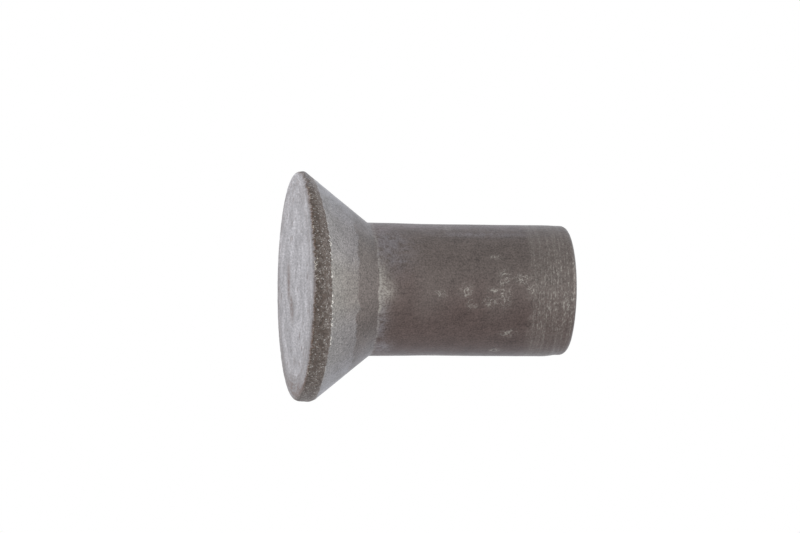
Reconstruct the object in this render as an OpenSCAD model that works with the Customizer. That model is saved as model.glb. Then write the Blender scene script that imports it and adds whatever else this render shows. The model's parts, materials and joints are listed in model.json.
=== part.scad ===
// Solid rivet with a countersunk head, cold headed from steel wire as one piece.
// It stands on its head: the face lies on z = 0, and the shank points up along +Z.
// Millimetres. The angle of a normal is measured from the radial direction towards +Z.

/* [Shank] */
// Diameter of the plain shank
shank_d = 8; // [6.6:0.05:9.6]
// Whole length, from the head's face to the end of the shank
length = 16.7; // [12:0.1:60]
// Radius of the worn edge round the end
end_round = 0.5; // [0.2:0.05:2]

/* [Root of the shank] */
// How much thicker the shank is where it leaves the head
root_swell = 0.06; // [0.02:0.01:0.3]
// Length over which that swell tapers away
swell_length = 3.5; // [1:0.1:4.5]
// Radius of the fillet between the cone and the shank
root_fillet = 0.25; // [0.05:0.05:0.6]

/* [Head] */
// Diameter of the head
head_d = 13.95; // [11.6:0.05:17]
// Full angle of the countersunk cone
cone_angle = 76.8; // [60:0.2:93]
// Height at which the cone would meet the rim with no round between them
rim_height = 0.75; // [0.4:0.05:1.2]
// Radius of the rim's edge beside the face
face_round = 0.4; // [0.1:0.05:0.6]
// Radius of the rim's edge beside the cone
cone_round = 0.65; // [0.1:0.05:1]

/* [Hidden] */

STEEL = [0.42, 0.39, 0.38];
FACETS = 180;
// Least height of the plain band that the rim keeps between its two rounds
LEAST_LAND = 0.05;
// A rounding circle is larger by this much, so that it surely crosses its two lines
CROSSING = 0.00002;
// A cutting wedge is this many radii long, which takes it well past the corner that it trims
WEDGE = 3;

// Normals of the face, of a plain side and of the shank's end
FACE = -90;
SIDE = 0;
END = 90;

head_r = head_d / 2;
shank_r = shank_d / 2;
root_r = shank_r + root_swell / 2;

// Normals of the cone and of the tapering swell
CONE = cone_angle / 2;
SWELL = atan((root_r - shank_r) / swell_length);

head_height = rim_height + (head_r - root_r) / tan(CONE);
swell_top = head_height + swell_length;

// On a thin rim both rounds shrink alike, to leave the least land
rounds_height = face_round + cone_round * tan(CONE / 2);
rim_share = min(1, (rim_height - LEAST_LAND) / rounds_height);

// Sharp corners of the section, with the radius along x and the height along y
face_edge = [head_r, 0];
cone_edge = [head_r, rim_height];
root = [root_r, head_height];
end_edge = [shank_r, length];

function normal(angle) = [cos(angle), sin(angle)];

// From a sharp corner to the middle of its arc of radius 1, where the two lines have these normals
function inward(before, after) =
    -(normal(before) + normal(after)) / (1 + cos(after - before));

// What a round takes off an outer corner
module trimming(corner, before, after, radius) {
    translate(corner + radius * inward(before, after))
        difference() {
            polygon(WEDGE * radius * [[0, 0], normal(before), normal(after)]);
            circle(r = radius + CROSSING, $fn = FACETS);
        }
}

// What a fillet adds in an inner corner
module fillet(corner, before, after, radius) {
    middle = -radius * inward(before, after);
    translate(corner)
        difference() {
            polygon([middle - radius * normal(after), -middle, middle - radius * normal(before)]);
            translate(middle)
                circle(r = radius + CROSSING, $fn = FACETS);
        }
}

// Half of the rivet's section
module section() {
    difference() {
        polygon([
            [0, 0],
            face_edge,
            cone_edge,
            root,
            [shank_r, swell_top],
            end_edge,
            [0, length]
        ]);
        trimming(face_edge, FACE, SIDE, face_round * rim_share);
        trimming(cone_edge, SIDE, CONE, cone_round * rim_share);
        trimming(end_edge, SIDE, END, end_round);
    }
    fillet(root, CONE, SWELL, root_fillet);
}

module rivet() {
    color(STEEL)
        rotate_extrude($fn = FACETS)
            section();
}

rivet();
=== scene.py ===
"""A countersunk solid rivet of dark cold-headed steel, standing on its head.

The head's face is on the floor and +Z runs along the shank. Lengths are in millimetres and azimuths in
degrees unless a name or comment says otherwise. The front is the -Y side, where the camera stands.
"""

import json
import math

import bpy
import numpy as np
from mathutils import Matrix, Vector, noise


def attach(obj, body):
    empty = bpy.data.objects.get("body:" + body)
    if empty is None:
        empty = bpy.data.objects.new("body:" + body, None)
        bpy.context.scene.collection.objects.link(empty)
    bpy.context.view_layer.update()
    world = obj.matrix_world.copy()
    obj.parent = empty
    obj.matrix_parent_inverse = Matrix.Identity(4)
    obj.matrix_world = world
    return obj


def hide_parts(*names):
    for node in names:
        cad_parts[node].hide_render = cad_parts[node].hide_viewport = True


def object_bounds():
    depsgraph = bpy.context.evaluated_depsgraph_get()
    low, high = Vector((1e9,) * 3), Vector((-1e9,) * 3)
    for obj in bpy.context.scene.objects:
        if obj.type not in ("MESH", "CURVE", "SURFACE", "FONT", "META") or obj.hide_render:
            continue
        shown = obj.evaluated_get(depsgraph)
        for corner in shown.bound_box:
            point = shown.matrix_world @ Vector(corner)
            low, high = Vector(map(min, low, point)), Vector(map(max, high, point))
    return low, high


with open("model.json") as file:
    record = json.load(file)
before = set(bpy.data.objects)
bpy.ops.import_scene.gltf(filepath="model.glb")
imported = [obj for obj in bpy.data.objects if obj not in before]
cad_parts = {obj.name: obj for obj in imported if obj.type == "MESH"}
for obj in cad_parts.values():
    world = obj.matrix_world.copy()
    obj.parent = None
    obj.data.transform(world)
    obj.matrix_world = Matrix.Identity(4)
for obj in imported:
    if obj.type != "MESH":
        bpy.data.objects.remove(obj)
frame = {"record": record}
cad_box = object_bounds()

MM = 0.001
SHANK = next(m for m in frame["record"]["mounts"] if m["name"] == "shank")

# ---- the section, as in the CAD part

HEAD_R = cad_box[1].x / MM
LENGTH = cad_box[1].z / MM
SHANK_R = SHANK["dims"]["r_mm"]
SWELL_LENGTH = 3.5
CONE_ANGLE = 76.8
CONE_SLOPE = math.tan(math.radians(CONE_ANGLE / 2))
RIM_HEIGHT = 0.75
ROOT_FILLET = 0.25

# ---- how the forged rivet strays from it

# The rim lies off the axis towards -X and the cone towards +X, and the rim tapers towards the face
RIM_GROWTH = 0.02
RIM_SHIFT = 0.13
RIM_TAPER = 0.05
CONE_SHIFT = 0.095
CONE_SHIFT_AT_ROOT = 0.065
# The rounds at face and cone, and how much smaller they are on the -X side, and larger on the +X side
FACE_ROUND = 0.31
FACE_ROUND_CHANGE = 0.03
CONE_ROUND = 0.38
CONE_ROUND_CHANGE = 0.3
# The shank swells a little more at the root
ROOT_R = SHANK_R + 0.055
# Its end is drawn in a little: how much, how much less on the -X side, and where
DRAWN_IN = 0.06
LESS_DRAWN_IN = 0.03
DRAW_START = LENGTH - 1.25
DRAW_END = LENGTH - 0.65
END_ROUND = 0.4

# ---- the heights at which one finish gives way to the next

# For the face, the height plus the distance from the axis
FACE_BORDER = 6.99
BAND_BORDER = 1.16
STEP_BORDER = 2.98
ROOT_BORDER = 4.4
# Between these the shank's end is worn in rings
RINGS_BEGIN = 13.6
RINGS_FULL = 14.1
RINGS_FADE = 16.1
RINGS_END = 16.4

# ---- the mesh's rows and columns

COLUMNS = 448
FEWEST_COLUMNS = 7
RING_STEP = 0.14
ARC_ROWS = 9
BAND_ROWS = 3
CONE_ROWS = 44
SWELL_ROWS = 24
SHANK_ROWS = 58
DRAW_ROWS = 6

angles = np.arange(COLUMNS) * 2 * math.pi / COLUMNS
raised = -np.cos(angles)  # 1 on the -X side, -1 on the +X side


def pair(radius, height):
    """A corner of the section: its radius and height in every column."""
    return np.stack([np.broadcast_to(v, COLUMNS).astype(float) for v in (radius, height)], axis=1)


def unit(rows):
    """The same directions, each of length 1."""
    return rows / np.linalg.norm(rows, axis=1, keepdims=True)


def rows_between(start, end, count):
    """Rows from start towards end, with both left out."""
    return [start + (end - start) * k / count for k in range(1, count)]


def rounded(before, corner, after, radius):
    """The rows of the arc that rounds a corner of the section."""
    back, ahead = unit(before - corner), unit(after - corner)
    half = np.arccos((back * ahead).sum(1, keepdims=True)) / 2
    radius = np.broadcast_to(radius, COLUMNS)[:, None]
    centre = corner + unit(back + ahead) * radius / np.sin(half)
    first = corner + back * radius / np.tan(half) - centre
    last = corner + ahead * radius / np.tan(half) - centre
    turn = math.pi - 2 * half
    shares = [k / ARC_ROWS for k in range(ARC_ROWS + 1)]
    return [
        centre + (first * np.sin((1 - share) * turn) + last * np.sin(share * turn)) / np.sin(turn)
        for share in shares
    ]


def rings_of_disc(edge):
    """The rings of a flat end from its middle out, each with its step: every how many columns it keeps."""
    reach = float(edge[:, 0].mean())
    count = int(reach / RING_STEP)
    found = []
    for k in range(1, count):
        step = 1
        # Half the columns inside half the head's radius, a quarter inside a quarter of it, and so on
        while COLUMNS // step > FEWEST_COLUMNS and reach * k / count < HEAD_R / 2 / step:
            step *= 2
        found.append((edge * (k / count, 1), step))
    return found


def section_rows():
    """Every row of the skin, from the face's middle to the middle of the end, with its step."""
    rim_r = HEAD_R + RIM_GROWTH + RIM_SHIFT * raised
    cone_r = HEAD_R - CONE_SHIFT * raised
    cone_r_at_root = HEAD_R - CONE_SHIFT_AT_ROOT * raised
    face_edge = pair(rim_r - RIM_TAPER, 0)
    cone_edge = pair(rim_r, RIM_HEIGHT - (rim_r - cone_r) / CONE_SLOPE)
    root = pair(ROOT_R, RIM_HEIGHT + (cone_r_at_root - ROOT_R) / CONE_SLOPE)
    swell_end = root + (SHANK_R - ROOT_R, SWELL_LENGTH)
    end_r = SHANK_R - DRAWN_IN + LESS_DRAWN_IN * raised
    draw_start = pair(SHANK_R, DRAW_START)
    draw_end = pair(end_r, DRAW_END)
    end_edge = pair(end_r, LENGTH)
    face_round = rounded(pair(0, 0), face_edge, cone_edge, FACE_ROUND - FACE_ROUND_CHANGE * raised)
    cone_round = rounded(face_edge, cone_edge, root, CONE_ROUND - CONE_ROUND_CHANGE * raised)
    root_round = rounded(cone_edge, root, swell_end, ROOT_FILLET)
    end_round = rounded(draw_end, end_edge, pair(0, LENGTH), END_ROUND)
    side = (
        face_round
        + rows_between(face_round[-1], cone_round[0], BAND_ROWS)
        + cone_round
        + rows_between(cone_round[-1], root_round[0], CONE_ROWS)
        + root_round
        + rows_between(root_round[-1], swell_end, SWELL_ROWS)
        + rows_between(swell_end, draw_start, SHANK_ROWS)
        + rows_between(draw_start, draw_end, DRAW_ROWS)
        + rows_between(draw_end, end_round[0], DRAW_ROWS)
        + end_round
    )
    whole = rings_of_disc(face_round[0]) + [(row, 1) for row in side]
    return whole + rings_of_disc(end_round[-1])[::-1]


def skin():
    """Points and faces of the closed skin."""
    points = [(0.0, 0.0, 0.0)]
    faces = []
    starts = []
    counts = []
    for row, step in section_rows():
        starts.append(len(points))
        counts.append(COLUMNS // step)
        points += [(r * math.cos(a), r * math.sin(a), h) for (r, h), a in zip(row[::step], angles[::step])]
    points.append((0.0, 0.0, LENGTH))

    for here, there, many, more in zip(starts, starts[1:], counts, counts[1:]):
        for j in range(min(many, more)):
            k = (j + 1) % min(many, more)
            odd = 2 * j + 1
            even = (2 * j + 2) % max(many, more)
            if many == more:
                faces.append((here + j, here + k, there + k, there + j))
            elif many < more:
                faces.append((here + j, there + odd, there + 2 * j))
                faces.append((here + j, here + k, there + odd))
                faces.append((here + k, there + even, there + odd))
            else:
                faces.append((there + j, here + 2 * j, here + odd))
                faces.append((there + j, here + odd, there + k))
                faces.append((there + k, here + odd, here + even))
    for j in range(counts[0]):
        faces.append((0, starts[0] + (j + 1) % counts[0], starts[0] + j))
    for j in range(counts[-1]):
        faces.append((starts[-1] + j, starts[-1] + (j + 1) % counts[-1], len(points) - 1))
    return points, faces


points, faces = skin()
mesh = bpy.data.meshes.new("rivet_body")
mesh.from_pydata(points, [], faces)
mesh.update()

coords = np.array(points)
normals = np.zeros(coords.size)
mesh.vertices.foreach_get("normal", normals)
normals = normals.reshape(-1, 3)
x, y, z = coords.T
radius = np.hypot(x, y)
azimuth = np.degrees(np.arctan2(x, -y))  # 0 at the front, 90 on the +X side

# ---- where the steel is marked. Each mark becomes a value from 0 to 1 at every point

# Scuffs on the front of the shank: height, azimuth, reach along the axis, reach round it
SCUFFS = [
    (8.3, 3, 0.25, 0.2),
    (9.8, 0, 0.35, 0.35),
    (10.2, 12, 0.25, 0.25),
    (11.3, 10, 0.35, 0.25),
    (11.5, 0, 0.3, 0.15),
    (12.2, 5, 0.3, 0.5),
    (12.2, -10, 0.3, 0.5),
    (11.7, -30, 0.3, 0.15),
    (13.3, -10, 0.5, 0.25),
    (13.8, 0, 0.2, 0.5),
    (12.6, 40, 0.4, 0.25),
    (12, 65, 0.3, 0.2),
]
# Where the root is rubbed bright at the front, and where a grey film lies on it, in the same terms
ROOT_RUBS = [(4.6, -2, 0.4, 1.4), (4.8, 1, 0.55, 0.7)]
FILMS = [
    (5.2, -45, 1.3, 1.8),
    (5.6, -25, 0.8, 0.15),
    (8, -74, 3.5, 0.7),
    (11, -58, 3, 0.3),
    (12.5, -75, 2, 0.8),
    (4.65, 28, 0.4, 1.6),
    (4.8, -66, 1.4, 0.8),
    (4.5, -30, 0.3, 1),
    (5, 60, 0.6, 0.7),
]
# A smudge near the face's middle, as two strokes from point to point
SMUDGE = [[(-0.9, 2.4), (0.1, 2.3)], [(0.9, 1.4), (1.4, 1)]]
SMUDGE_WIDTH = 0.6
PITTED_R = 6.2
# The sides and back, which the photo doesn't show: the azimuths between which marks are drawn there
SCUFFED_BACK = (75, 285)
RUBBED_BACK = (75, 270)
FILMED_BACK = (95, 265)


def scuffs_elsewhere(clusters, seed):
    """Scuffs of the same kind over the sides and back."""
    draw = np.random.default_rng(seed)
    found = []
    for _ in range(clusters):
        height = draw.uniform(6, 13.5)
        turn = draw.uniform(*SCUFFED_BACK)
        for _ in range(draw.integers(2, 5)):
            at = (height + draw.normal(0, 0.6), turn + draw.normal(0, 9))
            found.append(at + tuple(draw.uniform(0.2, 0.45, 2)))
    return found


def root_rubs_elsewhere(count, seed):
    """Rubbed spots along the root line of the sides and back."""
    draw = np.random.default_rng(seed)
    found = []
    for _ in range(count):
        at = (ROOT_BORDER + 0.1, draw.uniform(*RUBBED_BACK))
        found.append(at + (draw.uniform(0.2, 0.5), draw.uniform(0.4, 1.2)))
    return found


def films_elsewhere(count, seed):
    """Patches of grey film over the sides and back."""
    draw = np.random.default_rng(seed)
    found = []
    for _ in range(count):
        at = (draw.uniform(5, 13), draw.uniform(*FILMED_BACK))
        found.append(at + (draw.uniform(0.8, 3), draw.uniform(0.5, 1.3)))
    return found


def patches(places):
    """1 in the middle of each patch of the shank, falling off over its reach."""
    found = np.zeros(len(coords))
    for height, turn, along, around in places:
        across = np.radians((azimuth - turn + 180) % 360 - 180) * SHANK_R
        found = np.maximum(found, np.exp(-(((z - height) / along) ** 2) - (across / around) ** 2))
    return found * (radius > SHANK_R / 2)


def smear(route, width):
    """1 along a route over the face, falling off over that width."""
    found = np.zeros(len(coords))
    for start, end in zip(route, route[1:]):
        run = np.subtract(end, start)
        share = np.clip(((x - start[0]) * run[0] + (y - start[1]) * run[1]) / (run @ run), 0, 1)
        gap = np.hypot(x - start[0] - share * run[0], y - start[1] - share * run[1])
        found = np.maximum(found, np.exp(-((gap / width) ** 2)))
    return found * (z < RIM_HEIGHT / 2)


def pits(count, seed):
    """Small pits scattered over the face."""
    draw = np.random.default_rng(seed)
    found = np.zeros(len(coords))
    for _ in range(count):
        turn = draw.uniform(0, 2 * math.pi)
        out = PITTED_R * math.sqrt(draw.uniform(0, 1))
        start = np.array((out * math.cos(turn), out * math.sin(turn)))
        end = start + draw.normal(0, 0.15, 2)
        found = np.maximum(found, smear([start, end], draw.uniform(0.08, 0.13)))
    return found


marks = {
    "scuff": patches(SCUFFS + scuffs_elsewhere(clusters=12, seed=8)),
    "root_rub": patches(ROOT_RUBS + root_rubs_elsewhere(count=14, seed=5)),
    "film": patches(FILMS + films_elsewhere(count=7, seed=3)),
    "smudge": np.maximum(*[smear(stroke, SMUDGE_WIDTH) for stroke in SMUDGE]),
    "pit": pits(count=18, seed=12),
}

# ---- relief: what forging and handling leave on each surface

# How far each kind stands out or sinks in, and where the lip of the rim is
UNEVENNESS = 0.012
GRAIN_ON_RIM = 0.012
LIP = 0.012
LIP_HEIGHT = 1.15
LIP_WIDTH = 0.06
GRAIN_ELSEWHERE = 0.003
RINGS = 0.004
SCUFF_DEPTH = 0.004
PIT_DEPTH = 0.015
DIP = 0.01


def ease(value, low, high):
    """0 below low, 1 above high, smooth between."""
    t = np.clip((value - low) / (high - low), 0, 1)
    return t * t * (3 - 2 * t)


def rough(size, at=coords, seed=0.0):
    """Perlin noise from about -1 to 1 at each point, with bumps of that size."""
    return np.array([noise.noise(Vector(p / size) + Vector((seed, seed, seed))) for p in at])


on_face = 1 - ease(z, 0.02, 0.06)
on_rim = ease(radius, 6.3, 6.5) * (1 - ease(z, 0.85, 1.05))
on_lip = np.exp(-(((z - LIP_HEIGHT) / LIP_WIDTH) ** 2)) * ease(radius, 6, 6.3)
near_end = ease(z, RINGS_BEGIN, RINGS_FULL) * (1 - ease(z, RINGS_FADE, RINGS_END))
on_end = ease(z, LENGTH - 0.03, LENGTH - 0.01)
# Points squeezed along the axis, so that noise on them makes rings
ring_places = np.stack([x / 2.2, y / 2.2, z / 0.14], axis=1)

relief = (
    UNEVENNESS * rough(2.6) * (1 - on_face)
    + GRAIN_ON_RIM * on_rim * rough(0.26, seed=3.0)
    + LIP * on_lip * ease(rough(0.4, seed=6.0), -0.2, 0.3)
    + GRAIN_ELSEWHERE * (1 - on_rim) * (1 - on_face) * rough(0.35, seed=5.0)
    + RINGS * near_end * rough(1.0, ring_places, 7.0)
    - SCUFF_DEPTH * marks["scuff"]
    - PIT_DEPTH * marks["pit"]
    - DIP * on_end * (1 + rough(0.8, seed=9.0))
)

coords = coords + normals * relief[:, None]
coords[:, 2] = np.clip(coords[:, 2], 0, LENGTH)
mesh.vertices.foreach_set("co", (coords * MM).ravel())
mesh.update()
for name, values in marks.items():
    mesh.attributes.new(name, "FLOAT", "POINT").data.foreach_set("value", values)
mesh.polygons.foreach_set("use_smooth", [True] * len(mesh.polygons))

rivet = bpy.data.objects.new("rivet_body", mesh)
bpy.context.scene.collection.objects.link(rivet)
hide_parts("rivet")
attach(rivet, "root")

# ---- shader nodes


class Shader:
    """Adds nodes to a tree. Each call gives the new node's output."""

    def __init__(self, owner):
        owner.use_nodes = True
        self.tree = owner.node_tree
        self.tree.nodes.clear()

    def add(self, kind, output=0, settings=(), **inputs):
        """A node of that kind. An input goes by its socket's name, with _ for a space, or by in0, in1."""
        made = self.tree.nodes.new("ShaderNode" + kind)
        for key, value in dict(settings).items():
            setattr(made, key, value)
        for key, value in inputs.items():
            numbered = key[:2] == "in" and key[2:].isdigit()
            socket = made.inputs[int(key[2:]) if numbered else key.replace("_", " ")]
            if isinstance(value, bpy.types.NodeSocket):
                self.tree.links.new(value, socket)
            else:
                socket.default_value = value[:3] if socket.type == "VECTOR" else value
        return made.outputs[output] if made.outputs else None

    def calc(self, operation, a, b=0.0):
        """One step of arithmetic."""
        return self.add("Math", settings={"operation": operation}, in0=a, in1=b)

    def chain(self, operation, values):
        """The same step over all the values in turn."""
        found = values[0]
        for value in values[1:]:
            found = self.calc(operation, found, value)
        return found

    def times(self, *values):
        """The product of the values."""
        return self.chain("MULTIPLY", values)

    def plus(self, *values):
        """The sum of the values."""
        return self.chain("ADD", values)

    def most(self, *values):
        """The largest of the values."""
        return self.chain("MAXIMUM", values)

    def ease(self, value, low, high, start=0.0, end=1.0):
        """start below low, end above high, smooth between."""
        settings = {"interpolation_type": "SMOOTHSTEP"}
        limits = {"From_Min": low, "From_Max": high, "To_Min": start, "To_Max": end}
        return self.add("MapRange", settings=settings, Value=value, **limits)

    def point(self, a, b, c):
        """A vector of three values."""
        return self.add("CombineXYZ", in0=a, in1=b, in2=c)

    def grain(self, at, size, detail=2.0, roughness=0.55):
        """Noise from 0 to 1, mostly 0.3 to 0.7, with features of about that size."""
        return self.add("TexNoise", Vector=at, Scale=1 / size, Detail=detail, Roughness=roughness)

    def swing(self, noise_value, depth):
        """Noise from 0 to 1, as a value that swings about 0."""
        return self.times(self.plus(noise_value, -0.5), depth)

    def threads(self, at, size, width):
        """Thin winding lines, where noise crosses its middle value."""
        off = self.calc("ABSOLUTE", self.plus(self.grain(at, size, 2.0), -0.5))
        return self.ease(off, width / 2, width, 1.0, 0.0)

    def specks(self, at, spacing, share, core, edge):
        """Round spots in that share of the cells of that spacing: full within core, gone past edge."""
        cell = self.add("TexVoronoi", Vector=at, Scale=1 / spacing)
        drawn = self.add("SeparateColor", Color=cell.node.outputs["Color"])
        near = self.ease(cell, core, edge, 1.0, 0.0)
        return self.times(near, self.ease(drawn, 1 - share - 0.05, 1 - share + 0.05))

    def mark(self, name):
        """The value of one of the mesh's marks."""
        return self.add("Attribute", output="Fac", settings={"attribute_name": name})

    def mix(self, amount, a, b):
        """Colour a where amount is 0, b where it is 1."""
        return self.add("Mix", output=2, settings={"data_type": "RGBA"}, in0=amount, in6=a, in7=b)

    def blend(self, amount, a, b):
        """Value a where amount is 0, b where it is 1."""
        return self.add("Mix", in0=amount, in2=a, in3=b)

    def tint(self, colour, value):
        """A colour made lighter or darker by a value near 1."""
        return self.add("VectorMath", settings={"operation": "SCALE"}, in0=colour, Scale=value)


def rgb(r, g, b):
    """A colour in linear light."""
    return (r, g, b, 1.0)


# ---- the steel's colours

FACE_GREY = rgb(0.28, 0.258, 0.262)
FACE_PALE = rgb(0.58, 0.555, 0.572)
FACE_MARGIN = rgb(0.25, 0.222, 0.218)
DIRT = rgb(0.14, 0.08, 0.055)
RUST = rgb(0.16, 0.095, 0.06)
BAND_BROWN = rgb(0.115, 0.09, 0.076)
BAND_LIGHTER = rgb(0.16, 0.132, 0.115)
BAND_VEIL_AND_SHEEN = rgb(0.26, 0.245, 0.255)
BAND_PAINTED_GLINT = rgb(0.5, 0.48, 0.46)
BAND_OUTLINE = rgb(0.085, 0.055, 0.037)
CHIPPED = rgb(0.75, 0.71, 0.63)
CONE_AT_RIM = rgb(0.242, 0.23, 0.214)
CONE_SHADED_FARTHER = rgb(0.195, 0.178, 0.166)
CONE_FILM_AND_SHEEN = rgb(0.335, 0.328, 0.36)
CONE_FILM_AND_SHEEN_DARKER = rgb(0.288, 0.281, 0.31)
CONE_ABOVE_STEP = rgb(0.152, 0.134, 0.125)
CONE_ABOVE_STEP_DARKER = rgb(0.135, 0.115, 0.107)
CONE_LIP = rgb(0.75, 0.73, 0.68)
SHANK_BROWN = rgb(0.13, 0.108, 0.1)
SHANK_REDDER_SHADED = rgb(0.107, 0.079, 0.073)
SHANK_FILM = rgb(0.197, 0.182, 0.192)
SHANK_FILM_REDDER = rgb(0.2, 0.166, 0.172)
WORN = rgb(0.36, 0.34, 0.31)
END_BROWN = rgb(0.112, 0.092, 0.084)
END_LIGHTER = rgb(0.165, 0.143, 0.132)

# ---- the steel: places and noises that its surfaces share

steel = bpy.data.materials.new("dark_steel")
mesh.materials.append(steel)
s = Shader(steel)

place = s.tint(s.add("TexCoord", output="Object"), 1 / MM)
px, py, height = s.add("SeparateXYZ", Vector=place).node.outputs
from_axis = s.calc("SQRT", s.plus(s.times(px, px), s.times(py, py)))
# Unit direction from the axis: sideways is -1 on the -X side, and frontways is 1 at the front
sideways = s.calc("DIVIDE", px, s.most(from_axis, 0.05))
frontways = s.calc("DIVIDE", py, s.calc("MINIMUM", s.times(from_axis, -1.0), -0.05))
aside = s.calc("ABSOLUTE", sideways)

fine = s.grain(place, 0.1, 1.0, 0.6)
coarse = s.grain(place, 0.26)
cloudy = s.grain(place, 0.9)
broad = s.grain(place, 3.0, 1.0)
wavy = s.swing(cloudy, 1.0)
broken = s.ease(s.grain(place, 0.12, 2.0, 0.8), 0.42, 0.6)


def tone(by_fine, by_coarse, by_cloudy):
    """A factor about 1 that mottles a colour at three scales."""
    return s.plus(s.swing(fine, by_fine), s.swing(coarse, by_coarse), s.swing(cloudy, by_cloudy), 1.0)


def turned(reach, along):
    """Points on a circle of that radius round the axis, so that noise on them follows the turn."""
    return s.point(s.times(sideways, reach), s.times(frontways, reach), along)


# ---- the ragged borders of face, band, cone and shank

on_circle = turned(HEAD_R, 0.0)
teeth = s.swing(s.grain(on_circle, 0.17, 2.0, 0.7), 1.0)
waves = s.swing(s.grain(on_circle, 1.2, 2.0), 1.0)
at_sides = s.ease(aside, 0.4, 0.98)
# At the front the face's edge is pushed a little over the rim, and chipped
pushed = s.times(
    s.ease(s.calc("ABSOLUTE", s.plus(px, 0.7)), 0.4, 2.0, 1.0, 0.0),
    s.ease(frontways, 0.5, 0.8),
)
# How far past each border a point lies: below 0 before it, above 0 beyond it
past_face = s.plus(
    from_axis,
    height,
    s.times(px, 0.021),
    s.times(at_sides, sideways, 0.1),
    -FACE_BORDER,
    teeth,
    s.times(waves, 0.28),
    s.times(pushed, -0.07),
)
past_band = s.plus(
    height,
    s.times(at_sides, 0.22),
    s.times(px, -0.018),
    -BAND_BORDER,
    s.times(teeth, 0.35),
    s.times(waves, 0.12),
)
in_face = s.ease(past_face, -0.03, 0.03, 1.0, 0.0)
in_band = s.times(s.plus(1.0, s.times(in_face, -1.0)), s.ease(past_band, -0.02, 0.02, 1.0, 0.0))
uneven_height = s.plus(height, s.swing(s.grain(on_circle, 2.2, 4.0, 0.8), 0.6))
past_root = s.ease(uneven_height, ROOT_BORDER, ROOT_BORDER + 0.1)
# The sides that look away to left and right carry a blue-grey film and a painted sheen: the white room's
# reflection at grazing angles
film_and_sheen_at_sides = s.times(at_sides, s.ease(cloudy, 0.3, 0.6, 0.5, 1.0))


def face_finish():
    """Pressed flat and rubbed: pale, with swirls, a grey margin, a smudge, pits and a stained side."""
    swirls = s.ease(s.grain(turned(1.3, s.times(from_axis, 1.1)), 1.0, 4.0, 0.6), 0.38, 0.62)
    drawn_out = s.point(px, s.times(py, 0.35), 0.0)
    streaks = s.ease(s.grain(drawn_out, 0.5, 3.0, 0.65), 0.36, 0.64)
    blotches = s.ease(s.grain(place, 1.9, 3.0, 0.6), 0.4, 0.58)
    rubbed = s.grain(s.point(px, s.times(py, 0.2), 0.0), 0.12, 2.0, 0.6)
    pale = s.plus(s.times(swirls, 0.4), s.times(streaks, 0.2), s.times(blotches, 0.3), s.times(px, -0.02))
    colour = s.mix(pale, FACE_GREY, FACE_PALE)
    margin = s.times(
        s.ease(s.plus(from_axis, s.times(px, 0.15), s.times(wavy, 0.8)), 5.8, 6.8),
        s.ease(frontways, 0.3, 0.9, 0.7, 0.3),
    )
    colour = s.mix(margin, colour, FACE_MARGIN)
    colour = s.tint(colour, s.plus(tone(0.9, 0.2, 0.1), s.swing(rubbed, 1.5)))
    flecks = s.grain(drawn_out, 0.3, 3.0, 0.7)
    arcs = s.grain(turned(3.0, s.times(from_axis, 4.0)), 1.0, 3.0, 0.75)
    stains = s.most(s.ease(s.plus(px, wavy), 4.6, 6.2, 0.0, 0.9), s.ease(past_face, -3.0, -0.3, 0.0, 0.35))
    dirt = s.most(
        s.times(s.mark("smudge"), s.ease(flecks, 0.4, 0.56, 0.45, 0.95)),
        s.times(stains, s.ease(arcs, 0.45, 0.57)),
        s.mark("pit"),
        s.times(s.specks(place, 0.7, 0.12, 0.08, 0.16), 0.9),
        s.ease(flecks, 0.59, 0.7, 0.0, 0.35),
    )
    colour = s.mix(s.calc("MINIMUM", dirt, 0.9), colour, DIRT)
    near_edge = s.times(s.ease(past_face, -1.2, -0.2), s.ease(frontways, 0.6, 0.8))
    colour = s.tint(colour, s.blend(near_edge, 1.0, 0.84))
    rust = s.times(s.ease(past_face, -0.18, -0.03), s.ease(coarse, 0.4, 0.5, 0.3, 1.0))
    return s.mix(s.times(rust, s.blend(pushed, 0.9, 0.15)), colour, RUST)


def band_finish():
    """As forged: brown, matt and granular, with painted glints as bright specks and threads, and a
    blue-grey veil and painted sheen on its sides.
    """
    colour = s.mix(s.ease(coarse, 0.38, 0.62), BAND_BROWN, BAND_LIGHTER)
    # A patchy blue-grey veil on the sides, mostly on -X, partly a painted sheen: the white room's
    # reflection at grazing angles
    veil_and_sheen = s.times(
        s.ease(at_sides, 0.8, 1.0),
        s.ease(sideways, -0.5, 0.5, 0.75, 0.1),
        s.ease(s.grain(place, 0.35, 3.0, 0.7), 0.42, 0.56, 0.3, 1.2),
    )
    colour = s.mix(veil_and_sheen, colour, BAND_VEIL_AND_SHEEN)
    colour = s.tint(colour, s.times(tone(1.6, 0.0, 0.2), s.ease(px, 5.0, 7.0, 1.0, 0.85)))
    # Painted glints: bright specks and threads where the grains catch the light
    painted_glints = s.most(
        s.specks(place, 0.26, 0.55, 0.1, 0.25),
        s.specks(place, 0.15, 0.25, 0.15, 0.35),
        s.times(s.threads(place, 0.2, 0.025), s.ease(coarse, 0.45, 0.55), 0.6),
    )
    colour = s.mix(s.times(painted_glints, 0.85), colour, BAND_PAINTED_GLINT)
    outline = s.ease(past_face, 0.06, 0.14, 1.0, 0.0)
    colour = s.mix(s.times(outline, 0.75), colour, BAND_OUTLINE)
    chipped = s.plus(s.grain(on_circle, 0.3, 2.0, 0.7), s.times(pushed, 0.07))
    chips = s.times(s.ease(past_face, 0.05, 0.1, 1.0, 0.0), s.ease(chipped, 0.58, 0.64))
    return s.mix(s.times(chips, 0.9), colour, CHIPPED)


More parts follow.
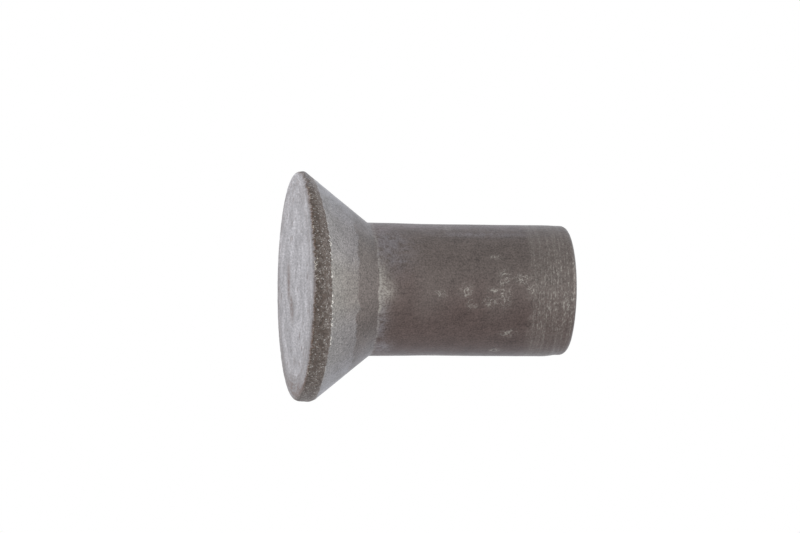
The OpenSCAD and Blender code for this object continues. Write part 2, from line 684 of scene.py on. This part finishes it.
def cone_finish():
    """Pale and grainy near the rim with painted shade towards the root, darker above a faint step, with a
    blue-grey film and painted sheen on its sides.
    """
    # Painted shade: darker from the rim towards the root, where the shank hides part of the light
    colour = s.mix(s.ease(height, 1.0, 3.0), CONE_AT_RIM, CONE_SHADED_FARTHER)
    # The sides' blue-grey film is partly a painted sheen, the white room's reflection at grazing angles,
    # and darker towards +X; more painted sheen grows from the middle outwards, where the light falls off
    film_and_sheen_colour = s.mix(s.ease(px, -5.0, 5.0), CONE_FILM_AND_SHEEN, CONE_FILM_AND_SHEEN_DARKER)
    painted_sheen_off_middle = s.ease(aside, 0.1, 0.45, 0.0, 0.28)
    colour = s.mix(s.most(s.times(film_and_sheen_at_sides, 0.68), painted_sheen_off_middle), colour, film_and_sheen_colour)
    past_step = s.plus(height, s.times(wavy, 0.9), s.swing(coarse, 0.3))
    step = s.times(s.ease(past_step, STEP_BORDER, STEP_BORDER + 0.12), s.ease(aside, 0.4, 0.9, 1.0, 0.6))
    above = s.mix(s.ease(px, -2.0, 2.0), CONE_ABOVE_STEP, CONE_ABOVE_STEP_DARKER)
    colour = s.mix(step, colour, above)
    colour = s.tint(colour, tone(1.65, 0.6, 0.5))
    lip = s.times(
        s.ease(past_band, -0.02, 0.0),
        s.ease(past_band, 0.03, 0.11, 1.0, 0.0),
        s.ease(s.grain(on_circle, 0.25, 2.0, 0.7), 0.52, 0.6),
        s.ease(frontways, 0.7, 0.97, 0.3, 1.0),
    )
    return s.mix(s.times(lip, 0.95), colour, CONE_LIP)


def shank_finish():
    """Brown scale, redder and with painted shade to one side, with films, scuffs, a rubbed root and an end
    worn in rings.
    """
    root_line = s.times(
        s.ease(uneven_height, ROOT_BORDER - 0.02, ROOT_BORDER + 0.08),
        s.ease(uneven_height, ROOT_BORDER + 0.1, ROOT_BORDER + 0.28, 1.0, 0.0),
    )
    # Redder and darker towards +X: a redder tint, and painted shade where less light falls
    redder_and_shaded = s.ease(s.plus(px, s.swing(broad, 6.0)), -1.5, 3.0)
    colour = s.mix(redder_and_shaded, SHANK_BROWN, SHANK_REDDER_SHADED)
    line_grain = s.grain(on_circle, 0.2, 3.0, 0.8)
    film = s.most(
        s.times(s.mark("film"), s.ease(s.grain(place, 0.4, 4.0, 0.75), 0.34, 0.6, 0.1, 1.0), 0.9),
        # A trace of the sides' painted sheen
        s.times(film_and_sheen_at_sides, 0.03),
        s.times(root_line, s.ease(line_grain, 0.36, 0.58, 0.3, 1.0), 0.9),
    )
    film_and_sheen_colour = s.mix(s.ease(px, -3.9, -3.2), SHANK_FILM_REDDER, SHANK_FILM)
    colour = s.mix(film, colour, film_and_sheen_colour)
    drawn_lines = s.grain(turned(26.0, s.times(height, 0.9)), 1.0, 2.0, 0.6)
    lighter_at_root = s.ease(height, 6.0, 11.0, 0.04, -0.05)
    colour = s.tint(colour, s.plus(tone(1.15, 0.4, 0.4), s.swing(drawn_lines, 0.4), lighter_at_root))

    scuff = s.mark("scuff")
    root_rub = s.mark("root_rub")
    dashes = s.ease(s.grain(turned(20.0, s.times(height, 11.0)), 1.0, 2.0, 0.65), 0.46, 0.7)
    bands = s.ease(s.grain(turned(1.0, s.times(height, 6.0)), 1.0, 2.0, 0.65), 0.4, 0.6, 0.35, 1.0)
    at_end = s.ease(s.plus(height, s.times(wavy, 0.6)), RINGS_BEGIN, RINGS_FULL)
    at_front = s.ease(s.plus(frontways, s.times(wavy, 0.4)), 0.5, 1.0, 0.33, 1.0)
    worn = s.most(
        s.times(scuff, s.threads(place, 0.35, 0.05), s.plus(s.times(broken, 0.8), 0.2), 1.4),
        s.times(scuff, broken, 0.28),
        s.times(root_rub, s.plus(s.ease(fine, 0.38, 0.62, 0.3, 0.85), s.times(broken, 0.2))),
        s.times(root_line, s.ease(line_grain, 0.42, 0.54), s.ease(root_rub, 0.02, 0.6, 0.3, 1.0), 1.3),
        s.times(at_end, bands, s.plus(s.times(dashes, at_front, 0.66), 0.13)),
    )
    return s.mix(s.calc("MINIMUM", worn, 0.85), colour, WORN)


def end_finish():
    """Cropped from the wire: dark and matt, with faint straight shear marks and a rubbed margin."""
    sheared = s.grain(s.point(s.times(px, 4.0), s.times(py, 0.5), 0.0), 1.0, 3.0, 0.65)
    colour = s.mix(s.ease(sheared, 0.38, 0.62), END_BROWN, END_LIGHTER)
    colour = s.tint(colour, tone(1.3, 0.7, 0.6))
    rubbed = s.times(s.ease(s.plus(from_axis, wavy), 3.1, 3.5), broken)
    return s.mix(s.times(rubbed, 0.6), colour, WORN)


colour = s.mix(past_root, cone_finish(), shank_finish())
colour = s.mix(s.ease(height, LENGTH - 0.1, LENGTH - 0.02), colour, end_finish())
colour = s.mix(in_face, colour, face_finish())
colour = s.mix(in_band, colour, band_finish())

# The band is rougher, duller and less bare than the rest
bumps = s.plus(s.times(fine, s.blend(in_band, 0.35, 0.8)), s.times(coarse, s.blend(in_band, 0.3, 1.1)))
surface = s.add(
    "BsdfPrincipled",
    Base_Color=colour,
    Metallic=s.blend(in_band, 0.75, 0.4),
    Roughness=s.plus(s.blend(in_band, 0.45, 0.62), s.swing(coarse, 0.3)),
    Specular_Tint=rgb(0.9, 0.94, 1.0),
    Sheen_Weight=0.12,
    Sheen_Roughness=0.4,
    Sheen_Tint=rgb(0.92, 0.9, 0.97),
    Normal=s.add("Bump", Strength=0.35, Distance=0.05 * MM, Height=bumps),
)
s.add("OutputMaterial", Surface=surface)

# ---- the floor, seen from above only, so that the camera, a little below it, sees the head

FLOOR_HALF = 0.6  # metres
floor_mesh = bpy.data.meshes.new("floor")
corners = [(-1, -1), (1, -1), (1, 1), (-1, 1)]
floor_mesh.from_pydata([(a * FLOOR_HALF, b * FLOOR_HALF, 0) for a, b in corners], [], [(0, 1, 2, 3)])
floor = bpy.data.objects.new("floor", floor_mesh)
bpy.context.scene.collection.objects.link(floor)
floor.location.z = -0.01 * MM
floor.visible_diffuse = False
floor.visible_glossy = False
floor.visible_transmission = False
floor.visible_shadow = False

paper = bpy.data.materials.new("pale_paper")
floor_mesh.materials.append(paper)
on_paper = Shader(paper)
from_below = on_paper.add("NewGeometry", output="Backfacing")
pale = on_paper.add("BsdfDiffuse", Color=rgb(0.85, 0.85, 0.85))
clear = on_paper.add("BsdfTransparent")
on_paper.add("OutputMaterial", Surface=on_paper.add("MixShader", in0=from_below, in1=pale, in2=clear))

# ---- light: a white room, a broad lamp above and a soft fill in front

world = bpy.data.worlds.new("white_room")
bpy.context.scene.world = world
room = Shader(world)
# White where the camera, a reflection or a transmission looks at it, and dimmer as light
rays = ("Is Camera Ray", "Is Glossy Ray", "Is Transmission Ray")
seen = room.most(*[room.add("LightPath", output=ray) for ray in rays])
white = room.add("Background", Color=rgb(1, 1, 1), Strength=room.blend(seen, 0.55, 1.0))
room.add("OutputWorld", Surface=white)


def lamp(name, place, size, watts):
    """A round lamp, in metres, that shines at the rivet's middle."""
    light = bpy.data.lights.new(name, "AREA")
    light.shape = "DISK"
    light.size = size
    light.energy = watts
    made = bpy.data.objects.new(name, light)
    bpy.context.scene.collection.objects.link(made)
    made.location = place
    made.rotation_mode = "QUATERNION"
    aim = Vector((0, 0, LENGTH * MM / 2)) - Vector(place)
    made.rotation_quaternion = aim.to_track_quat("-Z", "Y")


lamp("overhead", place=(-0.02, -0.1, 0.34), size=0.36, watts=0.32)
lamp("front", place=(0.0, -0.37, 0.02), size=0.35, watts=0.12)

# ---- the camera: just below the level of the face, turned so that the shank lies to the right

TILT = math.radians(10.15)
ROLL = math.radians(0.55)
FAR = 0.4  # metres
LENS = 297.0
# How far the face's middle lies from the middle of the view, as seen
FACE_LEFT = 6.37
FACE_BELOW = 1.34

away = Vector((0, math.cos(TILT), math.sin(TILT)))
level = Vector((0, -math.sin(TILT), math.cos(TILT)))
right = level * math.cos(ROLL) - Vector((1, 0, 0)) * math.sin(ROLL)
down = level * math.sin(ROLL) + Vector((1, 0, 0)) * math.cos(ROLL)
camera = bpy.data.objects.new("camera", bpy.data.cameras.new("camera"))
bpy.context.scene.collection.objects.link(camera)
camera.data.lens = LENS
camera.data.sensor_width = 36.0
camera.data.clip_start = 0.01
camera.data.clip_end = 5.0
stand = (right * FACE_LEFT - down * FACE_BELOW) * MM - away * FAR
facing = Matrix((right, -down, -away)).transposed().to_4x4()
camera.matrix_world = Matrix.Translation(stand) @ facing
bpy.context.scene.camera = camera
bpy.context.scene.view_settings.view_transform = "Standard"
